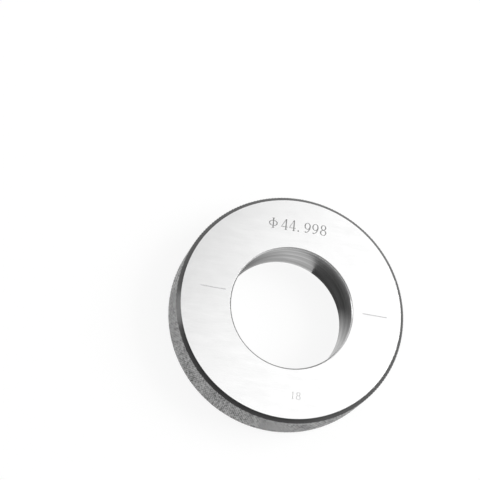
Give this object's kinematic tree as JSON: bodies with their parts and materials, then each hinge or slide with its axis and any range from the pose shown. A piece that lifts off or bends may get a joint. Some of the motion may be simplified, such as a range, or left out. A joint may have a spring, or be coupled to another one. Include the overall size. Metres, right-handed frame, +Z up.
{
  "type": "setting ring gauge",
  "caption": "Plain steel master ring with a lapped through bore, two ground faces, bevelled rims and a diamond-knurled grip, used to set and check bore gauges.",
  "frame": {"origin": "centre of the bore in the plane of the lower ground face, on which the ring lies", "axes": "+Z up along the axis of the bore, out of the marked upper face; +X along the pair of scribed measuring lines; +Y towards the engraved size"},
  "size_m": [0.085, 0.085, 0.018],
  "materials": {
    "gauge_steel": "hardened gauge steel: fine-ground bright faces, lapped bore, dark turned bevels and a matt grey diamond knurl"
  },
  "bodies": {
    "root": {"gauge_ring": "gauge_steel"}
  },
  "joints": []
}
